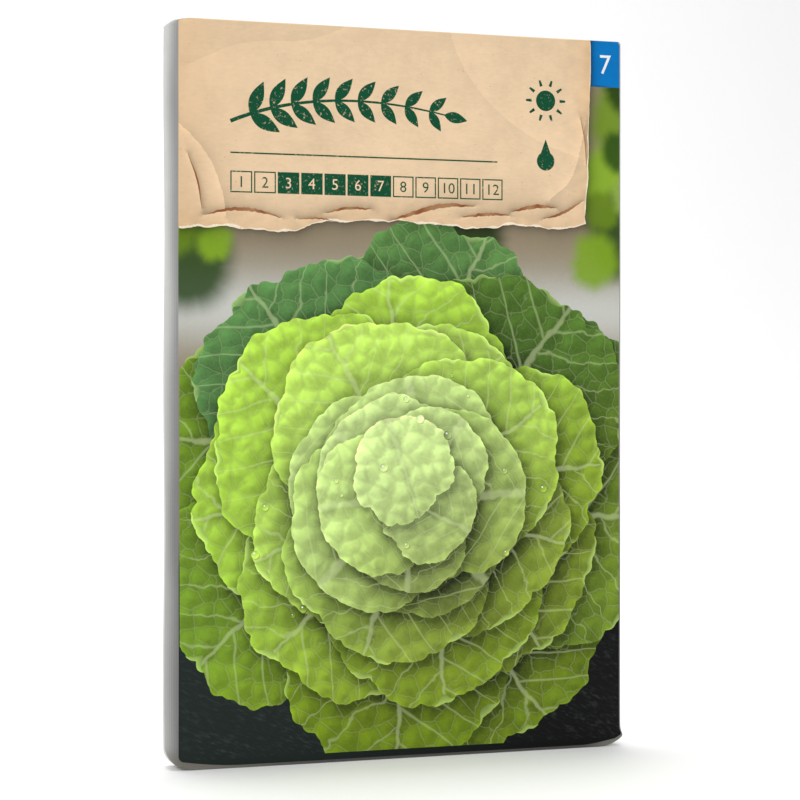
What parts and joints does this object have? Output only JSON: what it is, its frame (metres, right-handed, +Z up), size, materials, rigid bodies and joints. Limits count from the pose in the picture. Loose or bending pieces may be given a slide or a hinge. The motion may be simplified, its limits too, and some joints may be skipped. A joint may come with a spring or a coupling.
{
  "type": "seed packet",
  "caption": "Upright paper seed packet with a printed front, folded and glued at the back, with loose round seeds inside.",
  "frame": {"origin": "middle of the packet's outer box, at the bottom, on the surface it stands on", "axes": "+Z up along the height, the printed front faces -Y, +X to the right seen from the front"},
  "size_m": [0.113, 0.0094, 0.1726],
  "materials": {
    "paper": "satin",
    "seed_coat": "matte"
  },
  "bodies": {
    "root": {"paper_pouch": "paper", "seed_01": "seed_coat", "seed_02": "seed_coat", "seed_03": "seed_coat", "seed_04": "seed_coat", "seed_05": "seed_coat", "seed_06": "seed_coat", "seed_07": "seed_coat", "seed_08": "seed_coat", "seed_09": "seed_coat", "seed_10": "seed_coat", "seed_11": "seed_coat", "seed_12": "seed_coat", "seed_13": "seed_coat", "seed_14": "seed_coat", "seed_15": "seed_coat", "seed_16": "seed_coat", "seed_17": "seed_coat", "seed_18": "seed_coat", "seed_19": "seed_coat", "seed_20": "seed_coat", "seed_21": "seed_coat", "seed_22": "seed_coat", "seed_23": "seed_coat", "seed_24": "seed_coat", "seed_25": "seed_coat", "seed_26": "seed_coat", "seed_27": "seed_coat", "seed_28": "seed_coat", "seed_29": "seed_coat", "seed_30": "seed_coat", "seed_31": "seed_coat", "seed_32": "seed_coat", "seed_33": "seed_coat", "seed_34": "seed_coat", "seed_35": "seed_coat", "seed_36": "seed_coat", "seed_37": "seed_coat", "seed_38": "seed_coat", "seed_39": "seed_coat", "seed_40": "seed_coat", "seed_41": "seed_coat", "seed_42": "seed_coat", "seed_43": "seed_coat", "seed_44": "seed_coat", "seed_45": "seed_coat", "seed_46": "seed_coat", "seed_47": "seed_coat", "seed_48": "seed_coat"}
  },
  "joints": []
}
